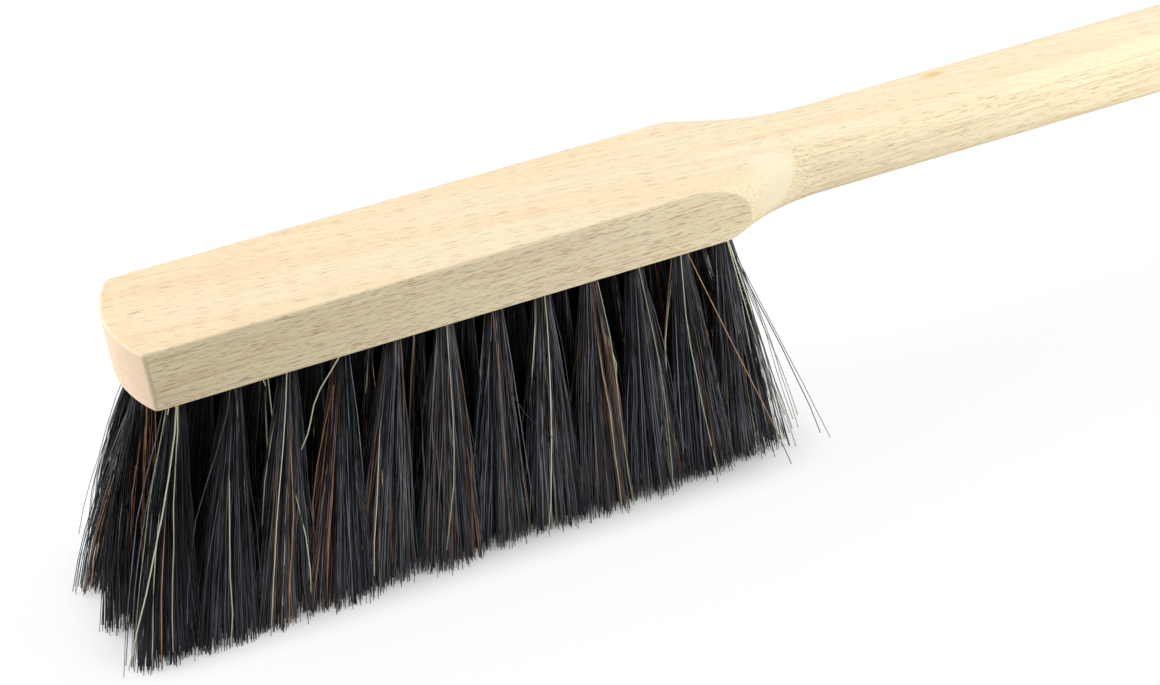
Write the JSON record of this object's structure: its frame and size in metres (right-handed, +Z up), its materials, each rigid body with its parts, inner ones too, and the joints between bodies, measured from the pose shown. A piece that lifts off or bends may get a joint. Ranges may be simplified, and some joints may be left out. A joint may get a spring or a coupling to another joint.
{
  "type": "wash brush",
  "caption": "Long-handled wash brush: a one-piece beech head and handle, with rows of black bristle tufts anchored in blind holes in its underside.",
  "frame": {"origin": "on the surface that the bristle tips stand on, under the middle of the brush's overall length and width", "axes": "+X from the toe along the handle, +Y across the head, +Z up from the bristle tips to the flat top"},
  "size_m": [0.456, 0.0786, 0.091],
  "materials": {
    "beech": "matte",
    "bristle": "satin",
    "steel": "satin"
  },
  "bodies": {
    "root": {"brush_body": "beech", "tuft_row_1": "bristle", "tuft_row_2": "bristle", "tuft_row_3": "bristle", "tuft_row_4": "bristle", "anchor_1_01": "steel", "anchor_1_02": "steel", "anchor_1_03": "steel", "anchor_1_04": "steel", "anchor_1_05": "steel", "anchor_1_06": "steel", "anchor_1_07": "steel", "anchor_1_08": "steel", "anchor_1_09": "steel", "anchor_1_10": "steel", "anchor_1_11": "steel", "anchor_1_12": "steel", "anchor_2_01": "steel", "anchor_2_02": "steel", "anchor_2_03": "steel", "anchor_2_04": "steel", "anchor_2_05": "steel", "anchor_2_06": "steel", "anchor_2_07": "steel", "anchor_2_08": "steel", "anchor_2_09": "steel", "anchor_2_10": "steel", "anchor_2_11": "steel", "anchor_2_12": "steel", "anchor_3_01": "steel", "anchor_3_02": "steel", "anchor_3_03": "steel", "anchor_3_04": "steel", "anchor_3_05": "steel", "anchor_3_06": "steel", "anchor_3_07": "steel", "anchor_3_08": "steel", "anchor_3_09": "steel", "anchor_3_10": "steel", "anchor_3_11": "steel", "anchor_3_12": "steel", "anchor_4_01": "steel", "anchor_4_02": "steel", "anchor_4_03": "steel", "anchor_4_04": "steel", "anchor_4_05": "steel", "anchor_4_06": "steel", "anchor_4_07": "steel", "anchor_4_08": "steel", "anchor_4_09": "steel", "anchor_4_10": "steel", "anchor_4_11": "steel", "anchor_4_12": "steel"}
  },
  "joints": []
}
